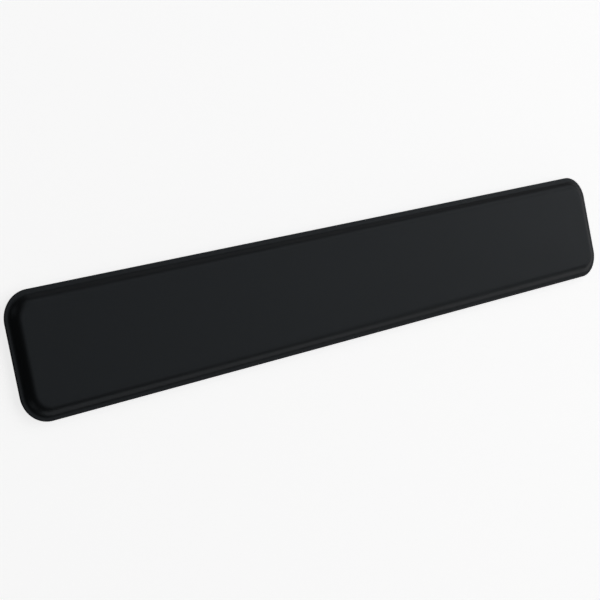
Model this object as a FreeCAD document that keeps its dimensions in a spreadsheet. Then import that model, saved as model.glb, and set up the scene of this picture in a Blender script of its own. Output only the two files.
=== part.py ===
# Slim keyboard wrist rest: a soft moulded pad with a narrow lip, on a rigid tray with a non-slip base.
#
# Frame: millimetres, +Z up, origin at the centre of the bottom face. +X runs along the keyboard, +Y points
# at the keyboard and z = 0 is the desk.
#
# Each piece is drawn standing on its own z = 0, and its Placement lifts it to its height in the stack. Every
# outline is the lip's outline moved in by some inset. The two pieces with a shoulder are a cross-section
# carried round that outline, with a slab that fills the middle.
import FreeCAD, Part

import math
import os

import Sketcher

V = FreeCAD.Vector
UP = V(0, 0, 1)
START, END, CENTRE = 1, 2, 3  # the points of a sketch's line or arc
ORIGIN = (-1, 1)  # a sketch's origin, as geometry and point
QUARTER_TURN = math.pi / 2
OUTLINE_EDGES = 8

# alias: (value, what it is). Millimetres, degrees or a count.
DIMENSIONS = {
    "overall_length": (420, "along the keyboard, over the lip"),
    "overall_width": (65, "user to keyboard, over the lip"),
    "overall_height": (8, "desk to plateau"),
    "corner_radius": (14.7, "lip's corners in plan"),
    "lip_height": (4.7, "desk to the lip's flat top"),
    "lip_width": (1.0, "lip's flat top, outside the shoulder"),
    "lip_edge_radius": (0.4, "round-over on the lip's top edge"),
    "shoulder_run": (7.25, "shoulder's width in plan"),
    "foot_radius": (3.4, "concave arc at the foot of the shoulder"),
    "crest_radius": (6.0, "convex arc at the top of the shoulder"),
    "skin_thickness": (0.8, "wall of the moulded skin"),
    "bond_line": (0.1, "sprayed glue between skin and foam"),
    "foam_inset": (3.0, "lip's edge to the foam"),
    "film_thickness": (0.15, "adhesive film, foam and base"),
    "film_margin": (0.6, "how far a film stops short of its piece's edge"),
    "ring_thickness": (0.1, "adhesive film under the lip"),
    "ring_inset": (0.7, "lip's edge to that film"),
    "ring_width": (0.6, "that film in plan"),
    "flange_inset": (0.6, "lip's edge to the tray's flange"),
    "flange_thickness": (1.0, "tray's flange, which carries the lip"),
    "flange_edge_radius": (0.3, "round-over under the flange's edge"),
    "tray_inset": (3.6, "lip's edge to the tray's lowest edge"),
    "tray_flare": (40, "tray's side from upright, wider at the top"),
    "tray_edge_radius": (0.4, "round-over on the tray's lowest edge"),
    "tray_height": (0.6, "desk to the tray's lowest edge"),
    "tray_floor": (1.4, "tray, between the foam and the base"),
    "tray_clearance": (0.2, "tray to the side of the foam or base"),
    "base_inset": (5.2, "lip's edge to the non-slip base"),
    "base_thickness": (1.4, "non-slip base"),
    "base_edge_radius": (0.5, "round-over on the tread's edge"),
    "groove_count": (12, "grooves in the tread"),
    "groove_pitch": (4.2, "groove to groove"),
    "groove_width": (1.1, "across one groove"),
    "groove_depth": (0.4, "into the tread"),
    "groove_length": (382, "one groove, end to end"),
}

# Heights above the desk, as spreadsheet expressions.
RECESS_CEILING = "dims.base_thickness + dims.film_thickness"
FLOOR_TOP = f"{RECESS_CEILING} + dims.tray_floor"
FOAM_UNDERSIDE = f"{FLOOR_TOP} + dims.film_thickness"
LIP_UNDERSIDE = "dims.lip_height - dims.skin_thickness"
TRAY_TOP = f"{LIP_UNDERSIDE} - dims.ring_thickness"

# The shoulder: a concave arc at the lip, a straight ramp and a convex arc at the plateau, all tangent.
SHOULDER_RISE = "(dims.overall_height - dims.lip_height)"
PLATEAU_INSET = "dims.lip_width + dims.shoulder_run"


# ---- the document, its sheet and its sketches ----


def add_sheet(doc):
    """The driving dimensions, one to a row."""
    sheet = doc.addObject("Spreadsheet::Sheet", "dims")
    for row, (alias, (value, meaning)) in enumerate(DIMENSIONS.items(), start=1):
        sheet.set(f"A{row}", str(value))
        sheet.setAlias(f"A{row}", alias)
        sheet.set(f"B{row}", meaning)
    doc.recompute()


def measure(doc, expression):
    """A spreadsheet expression's value."""
    return float(doc.getObject("dims").evalExpression(expression))


def add_body(doc, name, height):
    """One piece, lifted to its height above the desk."""
    body = doc.addObject("PartDesign::Body", name)
    body.Label = name
    body.setExpression("Placement.Base.z", height)
    return body


def add_sketch(body, name, plane_role, offset="0"):
    """A sketch on one of the body's origin planes, moved along the plane's normal."""
    sketch = body.newObject("Sketcher::SketchObject", name)
    plane = next(item for item in body.Origin.OriginFeatures if item.Role == plane_role)
    sketch.AttachmentSupport = (plane, "")
    sketch.MapMode = "FlatFace"
    sketch.setExpression("AttachmentOffset.Base.z", offset)
    return sketch


def add_line(sketch, start, end):
    return sketch.addGeometry(Part.LineSegment(start, end))


def add_arc(sketch, centre, radius, start, end):
    return sketch.addGeometry(Part.ArcOfCircle(Part.Circle(centre, UP, radius), start, end))


def relate(sketch, kind, *where):
    """A constraint with no size."""
    sketch.addConstraint(Sketcher.Constraint(kind, *where))


def size(sketch, name, expression, kind, *where):
    """A constraint with a size, bound to the sheet."""
    value = measure(sketch.Document, expression)
    index = sketch.addConstraint(Sketcher.Constraint(kind, *where, value))
    sketch.renameConstraint(index, name)
    sketch.setExpression(f"Constraints.{name}", expression)


def draw_outline(sketch, inset, name="outline"):
    """The lip's outline moved in: four sides and four corner arcs, anticlockwise from the -Y side."""
    length = f"dims.overall_length - 2 * ({inset})"
    width = f"dims.overall_width - 2 * ({inset})"
    radius = f"dims.corner_radius - ({inset})"
    spans = [measure(sketch.Document, span) / 2 for span in (length, width)]
    r = measure(sketch.Document, radius)

    pieces = []
    for side in range(4):
        turn = FreeCAD.Rotation(UP, 90 * side)
        reach, depth = spans[side % 2], spans[(side + 1) % 2]
        start, end = turn.multVec(V(r - reach, -depth)), turn.multVec(V(reach - r, -depth))
        centre = turn.multVec(V(reach - r, r - depth))
        from_angle = (side - 1) * QUARTER_TURN
        pieces.append(add_line(sketch, start, end))
        pieces.append(add_arc(sketch, centre, r, from_angle, from_angle + QUARTER_TURN))

    for this, following in zip(pieces, pieces[1:] + pieces[:1]):
        relate(sketch, "Tangent", this, END, following, START)
    front, right, rear, left = pieces[0::2]
    corners = pieces[1::2]
    for side in (front, rear):
        relate(sketch, "Horizontal", side)
    for side in (right, left):
        relate(sketch, "Vertical", side)
    for corner in corners[1:]:
        relate(sketch, "Equal", corners[0], corner)
    relate(sketch, "Symmetric", front, START, rear, START, *ORIGIN)
    size(sketch, f"{name}_length", length, "DistanceX", left, START, right, START)
    size(sketch, f"{name}_width", width, "DistanceY", front, START, rear, START)
    size(sketch, f"{name}_radius", radius, "Radius", corners[0])


# ---- features ----


def add_slab(body, name, inset, height, bottom="0", flare=None, hole_inset=None):
    """A flat slab of the outline, with the same outline further in left open if hole_inset is given."""
    sketch = add_sketch(body, f"{name}_outline", "XY_Plane", bottom)
    draw_outline(sketch, inset)
    if hole_inset:
        draw_outline(sketch, hole_inset, "hole")
    pad = body.newObject("PartDesign::Pad", name)
    pad.Profile = sketch
    pad.setExpression("Length", height)
    if flare:
        pad.setExpression("TaperAngle", flare)
    body.Document.recompute()


def cut(body, name, sketch, depth, upwards):
    """A pocket. One that points away from the solid cuts nothing without an error, so it is measured."""
    before = body.Shape.Volume
    pocket = body.newObject("PartDesign::Pocket", name)
    pocket.Profile = sketch
    pocket.Reversed = upwards
    pocket.setExpression("Length", depth)
    body.Document.recompute()
    if not body.Shape.Volume < before:
        raise RuntimeError(f"{name} cut nothing")
    return pocket


def cut_slab(body, name, inset, depth, start="0", upwards=False):
    sketch = add_sketch(body, f"{name}_outline", "XY_Plane", start)
    draw_outline(sketch, inset)
    cut(body, name, sketch, depth, upwards)


def round_level_edges(body, name, radius, height="0"):
    """Rounds the edges that lie level at a height above the body's own z = 0."""
    solid = body.Tip
    level = measure(body.Document, height)
    slack = 1e-6
    edges = [
        f"Edge{number}"
        for number, edge in enumerate(solid.Shape.Edges, start=1)
        if abs(edge.BoundBox.ZMin - level) < slack and abs(edge.BoundBox.ZMax - level) < slack
    ]
    fillet = body.newObject("PartDesign::Fillet", name)
    fillet.Base = (solid, edges)
    fillet.setExpression("Radius", radius)
    body.Document.recompute()


def add_section_sketch(body, name):
    """A cross-section on the -Y side, standing where that side meets the corner at the -X end."""
    return add_sketch(body, name, "YZ_Plane", "dims.corner_radius - dims.overall_length / 2")


def carry_round(body, name, section):
    """Carries a cross-section once round the lip's outline."""
    path = add_sketch(body, f"{name}_path", "XY_Plane")
    draw_outline(path, "0")
    pipe = body.newObject("PartDesign::AdditivePipe", name)
    pipe.Profile = section
    pipe.Spine = (path, [f"Edge{number}" for number in range(1, OUTLINE_EDGES + 1)])
    body.Document.recompute()


def draw_shoulder(sketch, name, shrink, floor):
    """The shoulder's two arcs and ramp, shrink inside the skin's surface, with heights from floor."""
    foot_to_middle = "dims.overall_width / 2 - dims.lip_width"
    crest_to_middle = f"{foot_to_middle} - dims.shoulder_run"
    concave_height = f"dims.lip_height + dims.foot_radius - ({floor})"
    convex_height = f"dims.overall_height - dims.crest_radius - ({floor})"
    concave_radius = f"dims.foot_radius + {shrink}"
    convex_radius = f"dims.crest_radius - ({shrink})"

    def value(expression):
        return measure(sketch.Document, expression)

    slope = ramp_slope(sketch.Document)
    concave_centre = V(-value(foot_to_middle), value(concave_height))
    convex_centre = V(-value(crest_to_middle), value(convex_height))
    lower, upper = slope - QUARTER_TURN, slope + QUARTER_TURN
    concave = add_arc(sketch, concave_centre, value(concave_radius), -QUARTER_TURN, lower)
    convex = add_arc(sketch, convex_centre, value(convex_radius), QUARTER_TURN, upper)
    ramp = add_line(sketch, sketch.getPoint(concave, END), sketch.getPoint(convex, END))

    relate(sketch, "Tangent", concave, END, ramp, START)
    relate(sketch, "Tangent", ramp, END, convex, END)
    relate(sketch, "Vertical", convex, CENTRE, convex, START)
    size(sketch, f"{name}_foot_to_middle", foot_to_middle, "DistanceX", concave, CENTRE, *ORIGIN)
    size(sketch, f"{name}_crest_to_middle", crest_to_middle, "DistanceX", convex, CENTRE, *ORIGIN)
    size(sketch, f"{name}_concave_height", concave_height, "DistanceY", *ORIGIN, concave, CENTRE)
    size(sketch, f"{name}_convex_height", convex_height, "DistanceY", *ORIGIN, convex, CENTRE)
    size(sketch, f"{name}_concave_radius", concave_radius, "Radius", concave)
    size(sketch, f"{name}_convex_radius", convex_radius, "Radius", convex)
    return concave, convex


def ramp_slope(doc):
    """The ramp's angle from level, from the two arcs that it joins."""
    run, rise = measure(doc, "dims.shoulder_run"), measure(doc, SHOULDER_RISE)
    radii = measure(doc, "dims.foot_radius + dims.crest_radius")
    between_centres = math.hypot(run, radii - rise)
    return math.asin(radii / between_centres) - math.atan2(radii - rise, run)


# ---- the pieces, from the desk up ----


def make_non_slip_base(doc):
    """Soft sheet that grips the desk, with grooves along the tread."""
    body = add_body(doc, "non_slip_base", "0")
    add_slab(body, "base_sheet", "dims.base_inset", "dims.base_thickness")
    round_level_edges(body, "tread_edge", "dims.base_edge_radius")

    sketch = add_sketch(body, "groove_outline", "XY_Plane")
    draw_groove(sketch)
    groove = cut(body, "groove", sketch, "dims.groove_depth", upwards=True)
    pattern = body.newObject("PartDesign::LinearPattern", "grooves")
    pattern.Originals = [groove]
    pattern.Direction = (sketch, ["V_Axis"])
    pattern.Mode = "Spacing"
    pattern.setExpression("Offset", "dims.groove_pitch")
    pattern.setExpression("Occurrences", "dims.groove_count")
    body.Tip = pattern
    return body


def draw_groove(sketch):
    """The groove nearest the user: a slot with round ends."""
    straight = "dims.groove_length - dims.groove_width"
    radius = "dims.groove_width / 2"
    to_middle = "(dims.groove_count - 1) / 2 * dims.groove_pitch"
    half = measure(sketch.Document, straight) / 2
    r = measure(sketch.Document, radius)
    y = -measure(sketch.Document, to_middle)

    near = add_line(sketch, V(-half, y - r), V(half, y - r))
    right = add_arc(sketch, V(half, y), r, -QUARTER_TURN, QUARTER_TURN)
    far = add_line(sketch, V(half, y + r), V(-half, y + r))
    left = add_arc(sketch, V(-half, y), r, QUARTER_TURN, 3 * QUARTER_TURN)
    pieces = [near, right, far, left]
    for this, following in zip(pieces, pieces[1:] + pieces[:1]):
        relate(sketch, "Tangent", this, END, following, START)
    relate(sketch, "Horizontal", near)
    relate(sketch, "Symmetric", left, CENTRE, right, CENTRE, -2)
    size(sketch, "straight", straight, "DistanceX", near, START, near, END)
    size(sketch, "radius", radius, "Radius", right)
    size(sketch, "to_middle", to_middle, "DistanceY", right, CENTRE, *ORIGIN)


def make_base_adhesive(doc):
    body = add_body(doc, "base_adhesive", "dims.base_thickness")
    add_slab(body, "film", "dims.base_inset + dims.film_margin", "dims.film_thickness")
    return body


def make_base_tray(doc):
    """Rigid tray: a flange under the lip, flared sides, a well for the foam and a recess for the base."""
    below_flange = f"{TRAY_TOP} - dims.flange_thickness - dims.tray_height"
    top = f"{TRAY_TOP} - dims.tray_height"
    body = add_body(doc, "base_tray", "dims.tray_height")
    add_slab(body, "flange", "dims.flange_inset", "dims.flange_thickness", bottom=below_flange)
    round_level_edges(body, "flange_edge", "dims.flange_edge_radius", below_flange)
    add_slab(body, "flared_body", "dims.tray_inset", below_flange, flare="dims.tray_flare")
    round_level_edges(body, "lowest_edge", "dims.tray_edge_radius")
    cut_slab(
        body, "foam_well", "dims.foam_inset - dims.tray_clearance", f"{TRAY_TOP} - ({FLOOR_TOP})", start=top
    )
    cut_slab(
        body,
        "base_recess",
        "dims.base_inset - dims.tray_clearance",
        f"{RECESS_CEILING} - dims.tray_height",
        upwards=True,
    )
    return body


def make_foam_adhesive(doc):
    body = add_body(doc, "foam_adhesive", FLOOR_TOP)
    add_slab(body, "film", "dims.foam_inset + dims.film_margin", "dims.film_thickness")
    return body


def make_foam_core(doc):
    """Foam slab whose edge follows the inside of the skin's shoulder."""
    shrink = "dims.skin_thickness + dims.bond_line"
    body = add_body(doc, "foam_core", FOAM_UNDERSIDE)
    section = add_section_sketch(body, "foam_section")
    concave, convex = draw_shoulder(section, "shoulder", shrink, FOAM_UNDERSIDE)
    side_to_middle = "dims.overall_width / 2 - dims.foam_inset"
    side_y = -measure(doc, side_to_middle)
    crest = section.getPoint(convex, START)
    foot = section.getPoint(concave, START)

    side = add_line(section, V(side_y, 0), V(side_y, foot.y))
    inner = add_line(section, crest, V(crest.x, 0))
    bottom = add_line(section, V(crest.x, 0), V(side_y, 0))
    relate(section, "Coincident", side, END, concave, START)
    relate(section, "Coincident", convex, START, inner, START)
    relate(section, "Coincident", inner, END, bottom, START)
    relate(section, "Coincident", bottom, END, side, START)
    relate(section, "Vertical", side)
    relate(section, "Vertical", inner)
    relate(section, "Horizontal", bottom)
    relate(section, "PointOnObject", bottom, START, -1)
    size(section, "side_to_middle", side_to_middle, "DistanceX", side, START, *ORIGIN)
    carry_round(body, "foam_edge", section)
    add_slab(body, "foam_middle", PLATEAU_INSET, f"dims.overall_height - ({shrink}) - ({FOAM_UNDERSIDE})")
    return body


def make_flange_adhesive(doc):
    body = add_body(doc, "flange_adhesive", TRAY_TOP)
    inner_inset = "dims.ring_inset + dims.ring_width"
    add_slab(body, "film_ring", "dims.ring_inset", "dims.ring_thickness", hole_inset=inner_inset)
    return body


def make_top_cover(doc):
    """Moulded skin of one thickness: lip, shoulder and plateau, open underneath."""
    body = add_body(doc, "top_cover", LIP_UNDERSIDE)
    section = add_section_sketch(body, "skin_section")
    outer_concave, outer_convex = draw_shoulder(section, "outer", "0", LIP_UNDERSIDE)
    inner_concave, inner_convex = draw_shoulder(section, "inner", "dims.skin_thickness", LIP_UNDERSIDE)
    edge_y = -measure(doc, "dims.overall_width / 2")
    skin = measure(doc, "dims.skin_thickness")
    r = measure(doc, "dims.lip_edge_radius")
    foot = section.getPoint(outer_concave, START)

    edge = add_line(section, V(edge_y, 0), V(edge_y, skin - r))
    edge_round = add_arc(section, V(edge_y + r, skin - r), r, QUARTER_TURN, 2 * QUARTER_TURN)
    lip_top = add_line(section, V(edge_y + r, skin), foot)
    crest = add_line(section, section.getPoint(outer_convex, START), section.getPoint(inner_convex, START))
    lip_bottom = add_line(section, section.getPoint(inner_concave, START), V(edge_y, 0))
    relate(section, "Tangent", edge, END, edge_round, END)
    relate(section, "Tangent", edge_round, START, lip_top, START)
    relate(section, "Tangent", lip_top, END, outer_concave, START)
    relate(section, "Coincident", outer_convex, START, crest, START)
    relate(section, "Coincident", crest, END, inner_convex, START)
    relate(section, "Tangent", inner_concave, START, lip_bottom, START)
    relate(section, "Coincident", lip_bottom, END, edge, START)
    relate(section, "Vertical", edge)
    relate(section, "Horizontal", lip_top)
    relate(section, "Horizontal", lip_bottom)
    size(section, "edge_to_middle", "dims.overall_width / 2", "DistanceX", edge, START, *ORIGIN)
    size(section, "edge_radius", "dims.lip_edge_radius", "Radius", edge_round)
    carry_round(body, "lip_and_shoulder", section)
    add_slab(body, "plateau", PLATEAU_INSET, "dims.skin_thickness", bottom=SHOULDER_RISE)
    return body


# ---- build, test and write ----


def test_document(doc, bodies):
    """Raises if a feature failed, a sketch can still move, or a piece isn't one sound solid."""
    for item in doc.Objects:
        if {"Invalid", "Error"} & set(item.State):
            raise RuntimeError(f"{item.Name} failed: {item.State}")
        if item.isDerivedFrom("Sketcher::SketchObject") and not item.FullyConstrained:
            raise RuntimeError(f"{item.Name} is not fully constrained")
    for body in bodies:
        shape = body.Shape
        if shape.isNull() or not shape.isValid() or len(shape.Solids) != 1:
            raise RuntimeError(f"{body.Label} is not one valid solid")


def main():
    doc = FreeCAD.newDocument("wrist_rest")
    add_sheet(doc)
    bodies = [
        make_non_slip_base(doc),
        make_base_adhesive(doc),
        make_base_tray(doc),
        make_foam_adhesive(doc),
        make_foam_core(doc),
        make_flange_adhesive(doc),
        make_top_cover(doc),
    ]
    doc.recompute()
    test_document(doc, bodies)
    os.makedirs("parts", exist_ok=True)
    for body in bodies:
        body.Shape.exportStep(os.path.join("parts", f"{body.Label}.step"))
        box = body.Shape.BoundBox
        print(
            f"{body.Label}: x {box.XMin:.2f} to {box.XMax:.2f}, y {box.YMin:.2f} to {box.YMax:.2f}, "
            f"z {box.ZMin:.2f} to {box.ZMax:.2f}, {body.Shape.Volume / 1000:.2f} cm3"
        )


main()
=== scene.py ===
import math

import bmesh
import bpy
from mathutils import Matrix, Vector


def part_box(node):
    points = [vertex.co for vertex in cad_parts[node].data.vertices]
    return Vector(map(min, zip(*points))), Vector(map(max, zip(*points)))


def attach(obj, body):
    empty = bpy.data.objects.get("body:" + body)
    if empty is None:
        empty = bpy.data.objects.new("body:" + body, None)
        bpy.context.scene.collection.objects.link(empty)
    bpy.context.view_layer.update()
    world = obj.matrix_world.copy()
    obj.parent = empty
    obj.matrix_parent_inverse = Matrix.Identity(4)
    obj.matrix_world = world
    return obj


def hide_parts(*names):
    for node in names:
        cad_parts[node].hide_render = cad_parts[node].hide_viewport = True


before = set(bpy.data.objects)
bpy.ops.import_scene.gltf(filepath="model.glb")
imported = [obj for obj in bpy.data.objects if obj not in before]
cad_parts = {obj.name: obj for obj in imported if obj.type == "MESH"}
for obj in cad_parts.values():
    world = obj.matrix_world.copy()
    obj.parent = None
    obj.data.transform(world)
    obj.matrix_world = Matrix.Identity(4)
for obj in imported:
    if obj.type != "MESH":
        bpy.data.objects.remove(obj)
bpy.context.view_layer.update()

MM = 0.001
QUARTER_TURN = math.pi / 2

# The section, in metres. These have the names and the values of the CAD part's dimensions.
CORNER_RADIUS = 14.7 * MM
LIP_HEIGHT = 4.7 * MM
LIP_WIDTH = 1.0 * MM
LIP_EDGE_RADIUS = 0.4 * MM
SHOULDER_RUN = 7.25 * MM
FOOT_RADIUS = 3.4 * MM
CREST_RADIUS = 6.0 * MM
SKIN_THICKNESS = 0.8 * MM
BOND_LINE = 0.1 * MM
FOAM_INSET = 3.0 * MM

# These are only in this model.
LIP_UNDER_RADIUS = 0.12 * MM
FOAM_EDGE_RADIUS = 0.5 * MM
CROWN = 0.15 * MM  # how far the foam swells the middle of the plateau

COVER_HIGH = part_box("top_cover")[1]
HALF_LENGTH, HALF_WIDTH = COVER_HIGH.x, COVER_HIGH.y
PLATEAU = COVER_HIGH.z
FOAM_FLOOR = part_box("foam_core")[0].z
PLATEAU_INSET = LIP_WIDTH + SHOULDER_RUN

# How finely the outline and its section are divided.
LONG_STEPS = 96
SHORT_STEPS = 12
CORNER_STEPS = 24
ARC_STEPS = 14
RAMP_STEPS = 4
EDGE_STEPS = 5
BLEND_RINGS = 4
BLEND_DEPTH = 9.0 * MM  # how far in from the plateau's edge its grid begins
SHARP_ANGLE = math.radians(50)  # edges sharper than this aren't shaded smooth


# ---- sections: lists of (inset from the lip's edge, height) ----


def arc(centre, radius, start, end, steps):
    """Points along an arc, both ends included."""
    points = []
    for step in range(steps + 1):
        angle = start + (end - start) * step / steps
        points.append((centre[0] + radius * math.cos(angle), centre[1] + radius * math.sin(angle)))
    return points


def between(start, end, steps):
    """Points that divide a straight run into that many steps, its ends left out."""
    return [
        (start[0] + (end[0] - start[0]) * step / steps, start[1] + (end[1] - start[1]) * step / steps)
        for step in range(1, steps)
    ]


def ramp_slope():
    """The angle from level of the straight ramp between the shoulder's two arcs."""
    radii = FOOT_RADIUS + CREST_RADIUS
    drop = radii - (PLATEAU - LIP_HEIGHT)
    return math.asin(radii / math.hypot(SHOULDER_RUN, drop)) - math.atan2(drop, SHOULDER_RUN)


def shoulder(shrink, from_inset=LIP_WIDTH):
    """The S-shaped shoulder from its foot to the plateau, shrink inside the skin's outer surface."""
    slope = ramp_slope()
    foot, crest = FOOT_RADIUS + shrink, CREST_RADIUS - shrink
    start = math.asin((from_inset - LIP_WIDTH) / foot) - QUARTER_TURN
    foot_centre = (LIP_WIDTH, LIP_HEIGHT + FOOT_RADIUS)
    crest_centre = (PLATEAU_INSET, PLATEAU - CREST_RADIUS)
    lower = arc(foot_centre, foot, start, slope - QUARTER_TURN, ARC_STEPS)
    upper = arc(crest_centre, crest, slope + QUARTER_TURN, QUARTER_TURN, ARC_STEPS)
    return lower + between(lower[-1], upper[0], RAMP_STEPS) + upper


def skin_sections():
    """The skin's outer and inner surfaces, both from the underside of the lip to the plateau."""
    under_centre = (LIP_UNDER_RADIUS, LIP_HEIGHT - SKIN_THICKNESS + LIP_UNDER_RADIUS)
    edge_centre = (LIP_EDGE_RADIUS, LIP_HEIGHT - LIP_EDGE_RADIUS)
    under = arc(under_centre, LIP_UNDER_RADIUS, 3 * QUARTER_TURN, 2 * QUARTER_TURN, EDGE_STEPS)
    edge = arc(edge_centre, LIP_EDGE_RADIUS, 2 * QUARTER_TURN, QUARTER_TURN, EDGE_STEPS)
    return under + edge + shoulder(0), shoulder(SKIN_THICKNESS)


def foam_section():
    """The foam's side and shoulder, from its rounded lower edge to its flat top."""
    centre = (FOAM_INSET + FOAM_EDGE_RADIUS, FOAM_FLOOR + FOAM_EDGE_RADIUS)
    lower_edge = arc(centre, FOAM_EDGE_RADIUS, 3 * QUARTER_TURN, 2 * QUARTER_TURN, EDGE_STEPS)
    return lower_edge + shoulder(SKIN_THICKNESS + BOND_LINE, from_inset=FOAM_INSET)


# ---- plan: rings round the lip's outline, and the grid that fills the middle ----


def outline(inset):
    """The lip's outline moved in, as points in order from the middle of the corner at -X -Y."""
    radius = CORNER_RADIUS - inset
    x, y = HALF_LENGTH - CORNER_RADIUS, HALF_WIDTH - CORNER_RADIUS
    turns = []
    for index, centre in enumerate(((-x, -y), (x, -y), (x, y), (-x, y))):
        start = (index + 2) % 4 * QUARTER_TURN
        turns.append(arc(centre, radius, start, start + QUARTER_TURN, CORNER_STEPS))

    points = []
    for index, turn in enumerate(turns):
        steps = LONG_STEPS if index % 2 == 0 else SHORT_STEPS
        points += turn + between(turn[-1], turns[(index + 1) % 4][0], steps)
    half_corner = CORNER_STEPS // 2
    return points[half_corner:] + points[:half_corner]


def rectangle_grid(inset):
    """Columns of points that fill a rectangle, with as many round its edge as the outline has."""
    columns, rows = LONG_STEPS + CORNER_STEPS, SHORT_STEPS + CORNER_STEPS
    half_x, half_y = HALF_LENGTH - inset, HALF_WIDTH - inset
    return [
        [
            (half_x * (2 * column / columns - 1), half_y * (2 * row / rows - 1))
            for row in range(rows + 1)
        ]
        for column in range(columns + 1)
    ]


def crown(x, y):
    """How far the middle of the plateau stands up: level at the shoulder and smooth all over."""
    full = HALF_WIDTH - PLATEAU_INSET
    height = CROWN
    for distance in (HALF_LENGTH - abs(x), HALF_WIDTH - abs(y)):
        share = min(max((distance - PLATEAU_INSET) / full, 0.0), 1.0)
        height *= share * share * (3 - 2 * share)
    return height


def add_ring(bm, inset, height):
    """The outline's points at one inset and height."""
    return [bm.verts.new((x, y, height)) for x, y in outline(inset)]


def join_rings(bm, first, second):
    """Quads between two rings with as many points."""
    count = len(first)
    for index in range(count):
        after = (index + 1) % count
        bm.faces.new((first[index], first[after], second[after], second[index]))


def add_wall(bm, section):
    """Carries a section round the outline, and returns its first and last rings."""
    rings = [add_ring(bm, inset, height) for inset, height in section]
    for lower, upper in zip(rings, rings[1:]):
        join_rings(bm, lower, upper)
    return rings[0], rings[-1]


def fill(bm, ring, lift):
    """Fills a ring with rings that turn the rounded outline into a rectangle, and a grid inside that."""
    level = ring[0].co.z
    grid = rectangle_grid(PLATEAU_INSET + BLEND_DEPTH)

    def add_point(x, y):
        return bm.verts.new((x, y, level + lift(x, y)))

    vertices = [[add_point(x, y) for x, y in column] for column in grid]
    for left, right in zip(vertices, vertices[1:]):
        for row in range(len(left) - 1):
            bm.faces.new((left[row], right[row], right[row + 1], left[row + 1]))

    last_row = len(vertices[0]) - 1
    border = [column[0] for column in vertices]
    border += vertices[-1][1:]
    border += [column[last_row] for column in reversed(vertices[:-1])]
    border += list(reversed(vertices[0][1:-1]))
    outer = ring
    for step in range(1, BLEND_RINGS):
        share = step / BLEND_RINGS
        middle = [
            add_point(*(start.co.xy.lerp(end.co.xy, share)))
            for start, end in zip(ring, border)
        ]
        join_rings(bm, outer, middle)
        outer = middle
    join_rings(bm, outer, border)


def finish_mesh(bm, name):
    """Closes the bmesh off as a smooth-shaded object."""
    bmesh.ops.recalc_face_normals(bm, faces=bm.faces)
    mesh = bpy.data.meshes.new(name)
    bm.to_mesh(mesh)
    bm.free()
    mesh.polygons.foreach_set("use_smooth", [True] * len(mesh.polygons))
    mesh.set_sharp_from_angle(angle=SHARP_ANGLE)
    piece = bpy.data.objects.new(name, mesh)
    bpy.context.scene.collection.objects.link(piece)
    return piece


def make_skin():
    """The moulded skin as a closed shell: outer surface, inner surface, and the lip's underside."""
    bm = bmesh.new()
    outer, inner = skin_sections()
    outer_foot, outer_crest = add_wall(bm, outer)
    inner_foot, inner_crest = add_wall(bm, inner)
    join_rings(bm, outer_foot, inner_foot)
    fill(bm, outer_crest, crown)
    fill(bm, inner_crest, crown)
    return finish_mesh(bm, "moulded_skin")


def make_foam():
    """The foam slab under the skin, crowned like it."""
    bm = bmesh.new()
    foot, crest = add_wall(bm, foam_section())
    fill(bm, crest, crown)
    fill(bm, foot, lambda x, y: 0.0)
    return finish_mesh(bm, "foam_slab")


# ---- materials ----


# A Mix node has sockets for every kind of data, and these are the numbers of the ones for colours.
MIX_FACTOR, MIX_FIRST, MIX_SECOND, MIX_RESULT = 0, 6, 7, 2


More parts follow.
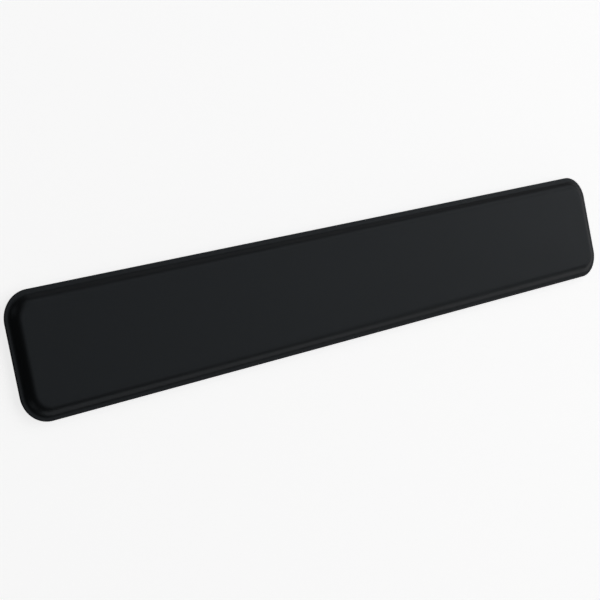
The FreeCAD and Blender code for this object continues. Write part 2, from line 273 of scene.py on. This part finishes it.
class Finish:
    """A Principled material under construction. Sizes of patterns are in metres on the object."""

    def __init__(self, name, **sockets):
        self.material = bpy.data.materials.new(name)
        self.material.use_nodes = True
        self.tree = self.material.node_tree
        self.shader = self.tree.nodes["Principled BSDF"]
        for socket, value in sockets.items():
            self.shader.inputs[socket.replace("_", " ")].default_value = value
        self.place = self.node("ShaderNodeTexCoord").outputs["Object"]

    def node(self, kind, inputs=None, **settings):
        """A node with its settings. Each input is a plain value or another node's output."""
        made = self.tree.nodes.new(kind)
        for setting, value in settings.items():
            setattr(made, setting, value)
        for socket, value in (inputs or {}).items():
            if isinstance(value, bpy.types.NodeSocket):
                self.tree.links.new(value, made.inputs[socket])
            else:
                made.inputs[socket].default_value = value
        return made

    def stretched(self, share):
        """The object's coordinates with X scaled by that share, which makes patterns longer along X."""
        return self.node("ShaderNodeMapping", {"Vector": self.place, "Scale": (share, 1.0, 1.0)}).outputs[0]

    def noise(self, blob, detail=2.0, coarse=0.5, place=None):
        """Soft noise whose largest blobs are about that size."""
        inputs = {"Vector": place or self.place, "Scale": 1 / blob, "Detail": detail, "Roughness": coarse}
        return self.node("ShaderNodeTexNoise", inputs).outputs["Fac"]

    def cells(self, size):
        """The distance to the middle of the nearest of many cells of that size."""
        inputs = {"Vector": self.place, "Scale": 1 / size}
        return self.node("ShaderNodeTexVoronoi", inputs).outputs["Distance"]

    def remap(self, value, low, high, to_low=0.0, to_high=1.0):
        """value's stretch from low to high, as to_low to to_high, and held at the ends."""
        inputs = {0: value, 1: low, 2: high, 3: to_low, 4: to_high}
        return self.node("ShaderNodeMapRange", inputs).outputs[0]

    def math(self, operation, first, second):
        """One sum or product, or the like, of two values."""
        return self.node("ShaderNodeMath", {0: first, 1: second}, operation=operation).outputs[0]

    def blend(self, share, first, second):
        """first where share is 0 and second where it is 1."""
        mix = self.node("ShaderNodeMix", data_type="RGBA")
        self.tree.links.new(share, mix.inputs[MIX_FACTOR])
        mix.inputs[MIX_FIRST].default_value = (*first, 1.0)
        mix.inputs[MIX_SECOND].default_value = (*second, 1.0)
        return mix.outputs[MIX_RESULT]

    def bump(self, height, depth, under=None):
        """A bump of that depth in metres, on top of another one."""
        inputs = {"Height": height, "Distance": depth, "Strength": 1.0}
        if under:
            inputs["Normal"] = under
        return self.node("ShaderNodeBump", inputs).outputs[0]

    def feed(self, socket, value):
        """Joins a node's output to one of the shader's sockets."""
        self.tree.links.new(value, self.shader.inputs[socket])


def soft_touch():
    """Near-black polyurethane skin: satin, with a faint cast of blue and a fine, even grain."""
    finish = Finish(
        "soft_touch_skin",
        IOR=1.48,
        Specular_Tint=(0.82, 0.91, 1.0, 1.0),
        Sheen_Weight=0.22,
        Sheen_Roughness=0.35,
    )
    mottle = finish.noise(24 * MM, detail=3)
    grain = finish.noise(0.32 * MM, detail=3)
    pits = finish.remap(finish.cells(0.55 * MM), 0.05, 0.32)
    finish.feed("Base Color", finish.blend(mottle, (0.0125, 0.014, 0.0155), (0.0145, 0.016, 0.0175)))
    finish.feed("Roughness", finish.remap(finish.math("ADD", mottle, grain), 0.7, 1.3, 0.36, 0.40))
    finish.feed("Normal", finish.bump(grain, 0.007 * MM, under=finish.bump(pits, 0.004 * MM)))
    return finish.material


def moulded_abs():
    """Dark ABS with a fine spark-eroded texture, rubbed a little smoother in patches."""
    finish = Finish("moulded_abs", IOR=1.53)
    texture = finish.noise(0.45 * MM, detail=4, coarse=0.6)
    rubbed = finish.noise(18 * MM, detail=4)
    flow = finish.noise(9 * MM, detail=3, place=finish.stretched(0.25))
    finish.feed("Base Color", finish.blend(flow, (0.021, 0.022, 0.024), (0.029, 0.030, 0.033)))
    finish.feed("Roughness", finish.remap(rubbed, 0.3, 0.7, 0.44, 0.56))
    finish.feed("Normal", finish.bump(texture, 0.02 * MM))
    return finish.material


def grip_rubber():
    """Matt silicone tread: fine dimples, and a trace of desk dust that shows in patches."""
    finish = Finish("grip_rubber", IOR=1.42)
    dimples = finish.remap(finish.cells(0.9 * MM), 0.1, 0.5)
    grain = finish.noise(0.3 * MM, detail=3)
    dust = finish.remap(finish.noise(14 * MM, detail=6, coarse=0.65), 0.5, 0.75)
    specks = finish.math("MULTIPLY", dust, finish.remap(grain, 0.45, 0.65))
    finish.feed("Base Color", finish.blend(specks, (0.020, 0.020, 0.021), (0.075, 0.073, 0.070)))
    finish.feed("Roughness", finish.remap(specks, 0.0, 1.0, 0.66, 0.88))
    finish.feed("Normal", finish.bump(dimples, 0.05 * MM, under=finish.bump(grain, 0.01 * MM)))
    return finish.material


def memory_foam():
    """Grey open-cell foam: small open cells of two sizes, with the middle of each cell darkened by painted
    shade.
    """
    finish = Finish("memory_foam", IOR=1.35)
    large, small = finish.cells(1.1 * MM), finish.cells(0.45 * MM)
    cells = finish.math("MULTIPLY", finish.remap(large, 0.0, 0.6), finish.remap(small, 0.0, 0.6, 0.4, 1.0))
    # painted shade: the middle of each open cell is coloured much darker than its rim, standing in for the
    # shade inside the pit
    finish.feed("Base Color", finish.blend(cells, (0.030, 0.030, 0.033), (0.125, 0.125, 0.135)))
    finish.feed("Roughness", finish.remap(cells, 0.0, 1.0, 0.95, 0.80))
    finish.feed("Normal", finish.bump(cells, 0.15 * MM))
    return finish.material


def adhesive_film():
    """Cloudy cream film with a fine crossed scrim and a few small trapped bubbles."""
    finish = Finish("adhesive_film", IOR=1.47)
    cloud = finish.noise(7 * MM, detail=4)
    threads = [
        finish.node(
            "ShaderNodeTexWave",
            {"Vector": finish.place, "Scale": 1 / (9 * MM)},
            bands_direction=direction,
        ).outputs["Fac"]
        for direction in ("X", "Y")
    ]
    scrim = finish.math("MAXIMUM", *threads)
    bubbles = finish.remap(finish.cells(5 * MM), 0.03, 0.08)
    finish.feed("Base Color", finish.blend(cloud, (0.62, 0.59, 0.50), (0.78, 0.76, 0.69)))
    finish.feed("Roughness", finish.remap(scrim, 0.5, 1.0, 0.38, 0.55))
    finish.feed("Normal", finish.bump(scrim, 0.01 * MM, under=finish.bump(bubbles, 0.02 * MM)))
    return finish.material


MATERIALS = {
    "skin": soft_touch(),
    "foam": memory_foam(),
    "adhesive": adhesive_film(),
    "tray": moulded_abs(),
    "grip": grip_rubber(),
}
CARRIED_NODES = {
    "base_tray": "tray",
    "non_slip_base": "grip",
    "foam_adhesive": "adhesive",
    "flange_adhesive": "adhesive",
    "base_adhesive": "adhesive",
}


def dress(piece, slot):
    """Gives a piece its slot's material, in place of any it came with."""
    piece.data.materials.clear()
    piece.data.materials.append(MATERIALS[slot])


def stand_in(piece, node, slot):
    """A soft piece made here takes the place of its CAD node."""
    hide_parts(node)
    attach(piece, "root")
    dress(piece, slot)


stand_in(make_skin(), "top_cover", "skin")
stand_in(make_foam(), "foam_core", "foam")
for node, slot in CARRIED_NODES.items():
    dress(bpy.data.objects[node], slot)


# ---- stage, camera and light ----

FLOOR_RADIUS = 8.0
FLOOR_SIDES = 96
FLOOR_DROP = 0.05 * MM  # keeps the floor just clear of the tread
FLOOR_COLOUR = (0.80, 0.80, 0.80, 1.0)
FLOOR_FADE = (0.45, 1.0)  # from this far out to this far, the floor turns into the backdrop
LIFT = 0.80  # what the camera sees added to the lit floor, so that it comes out as pale as the backdrop
BACKDROP = 0.95
HORIZON_GLOW = 0.06  # light from the surround near the horizon
SKY_GLOW = 0.008  # and from above it
GLOW_HEIGHT = 0.30

# The camera, fitted to the photo's outline. Its lens and sensor are in millimetres.
CAMERA_PLACE = Vector((-497.1, 41.7, 616.8)) * MM
CAMERA_TARGET = Vector((-35.1, -3.8, 4.7)) * MM
CAMERA_ROLL = math.radians(83.39)
CAMERA_LENS = 83.73
SENSOR = 36.0

# The studio: rows of soft panels in a wide half-dome at the +X end, and two fills behind the camera. A row
# gives its elevation, its panels' bearings from +X towards +Y, both in degrees, and each panel's watts.
PANEL_DISTANCE = 2.0
ROUND_PANEL = 0.95
LOW_PANEL = (1.0, 0.5)
LOW_ELEVATION = 8
PANEL_ROWS = {
    "overhead": (88, (0,), 0.6),
    "high": (66, (-60, 0, 60), 0.7),
    "middle": (45, (-36, 0, 36, 72), 1.0),
    "lower": (25, (0, 30), 1.2),
    "low_near": (LOW_ELEVATION, (-90, -60, -30), 1.0),
    "low_far": (LOW_ELEVATION, (0, 60), 0.5),
    "fill": (20, (-140, 140), 0.6),
}


class Nodes:
    """A node tree that is being put together."""

    def __init__(self, owner):
        owner.use_nodes = True
        self.tree = owner.node_tree
        self.tree.nodes.clear()

    def add(self, kind, *inputs, **settings):
        """A node whose first inputs are the given values, or the first outputs of the given nodes."""
        node = self.tree.nodes.new(kind)
        for setting, value in settings.items():
            setattr(node, setting, value)
        for socket, value in zip(node.inputs, inputs):
            if isinstance(value, bpy.types.Node):
                value = value.outputs[0]
            if isinstance(value, bpy.types.NodeSocket):
                self.tree.links.new(value, socket)
            elif value is not None:
                socket.default_value = value
        return node


def floor_material():
    """Matt pale board that takes shadows and bounces light. The camera sees it lifted to near white, and from
    below it is clear, so that the tread can be seen."""
    material = bpy.data.materials.new("pale_floor")
    nodes = Nodes(material)
    place = nodes.add("ShaderNodeTexCoord").outputs["Object"]
    far = nodes.add("ShaderNodeVectorMath", place, operation="LENGTH").outputs["Value"]
    fade = nodes.add("ShaderNodeMapRange", far, *FLOOR_FADE, interpolation_type="SMOOTHSTEP")
    seen = nodes.add("ShaderNodeLightPath").outputs["Is Camera Ray"]
    lift = nodes.add("ShaderNodeMapRange", fade, 0.0, 1.0, LIFT, BACKDROP)
    strength = nodes.add("ShaderNodeMath", seen, lift, operation="MULTIPLY")
    glow = nodes.add("ShaderNodeEmission", None, strength)
    board = nodes.add("ShaderNodeBsdfDiffuse", FLOOR_COLOUR)
    dark = nodes.add("ShaderNodeBsdfDiffuse", (0.0, 0.0, 0.0, 1.0))
    lit = nodes.add("ShaderNodeAddShader", nodes.add("ShaderNodeMixShader", fade, board, dark), glow)
    underneath = nodes.add("ShaderNodeNewGeometry").outputs["Backfacing"]
    clear = nodes.add("ShaderNodeBsdfTransparent")
    nodes.add("ShaderNodeOutputMaterial", nodes.add("ShaderNodeMixShader", underneath, lit, clear))
    return material


def make_floor():
    """A wide round board just under the tread."""
    bm = bmesh.new()
    bmesh.ops.create_circle(bm, cap_ends=True, segments=FLOOR_SIDES, radius=FLOOR_RADIUS)
    mesh = bpy.data.meshes.new("floor")
    bm.to_mesh(mesh)
    bm.free()
    mesh.materials.append(floor_material())
    floor = bpy.data.objects.new("floor", mesh)
    floor.location.z = -FLOOR_DROP
    bpy.context.scene.collection.objects.link(floor)


def make_world():
    """A pale surround for the camera. As light it is dim, and brightest near the horizon."""
    world = bpy.data.worlds.new("surround")
    nodes = Nodes(world)
    direction = nodes.add("ShaderNodeTexCoord").outputs["Generated"]
    height = nodes.add("ShaderNodeSeparateXYZ", direction).outputs["Z"]
    glow = nodes.add("ShaderNodeMapRange", height, 0.0, GLOW_HEIGHT, HORIZON_GLOW, SKY_GLOW)
    dim = nodes.add("ShaderNodeBackground", (1.0, 1.0, 1.0, 1.0), glow)
    pale = nodes.add("ShaderNodeBackground", (BACKDROP, BACKDROP, BACKDROP, 1.0), 1.0)
    seen = nodes.add("ShaderNodeLightPath").outputs["Is Camera Ray"]
    nodes.add("ShaderNodeOutputWorld", nodes.add("ShaderNodeMixShader", seen, dim, pale))
    bpy.context.scene.world = world


def make_panel(name, bearing, elevation, power):
    """A soft panel that faces the origin and isn't itself seen."""
    bearing, height = math.radians(bearing), math.radians(elevation)
    level = math.cos(height)
    away = Vector((math.cos(bearing) * level, math.sin(bearing) * level, math.sin(height)))
    data = bpy.data.lights.new(name, "AREA")
    data.energy = power
    if elevation == LOW_ELEVATION:
        data.shape = "RECTANGLE"
        data.size, data.size_y = LOW_PANEL
    else:
        data.shape = "DISK"
        data.size = ROUND_PANEL
    panel = bpy.data.objects.new(name, data)
    panel.location = away * PANEL_DISTANCE
    panel.rotation_mode = "QUATERNION"
    panel.rotation_quaternion = (-away).to_track_quat("-Z", "Y")
    panel.visible_camera = False
    bpy.context.scene.collection.objects.link(panel)


def make_camera():
    """The camera, aimed at its target and then rolled."""
    data = bpy.data.cameras.new("camera")
    data.lens = CAMERA_LENS
    data.sensor_width = SENSOR
    camera = bpy.data.objects.new("camera", data)
    level = (CAMERA_TARGET - CAMERA_PLACE).to_track_quat("-Z", "Y").to_matrix().to_4x4()
    camera.matrix_world = Matrix.Translation(CAMERA_PLACE) @ level @ Matrix.Rotation(CAMERA_ROLL, 4, "Z")
    bpy.context.scene.collection.objects.link(camera)
    bpy.context.scene.camera = camera


make_floor()
make_world()
for row, (elevation, bearings, power) in PANEL_ROWS.items():
    for bearing in bearings:
        make_panel(f"{row}_{bearing}", bearing, elevation, power)
make_camera()
bpy.context.scene.view_settings.view_transform = "Standard"
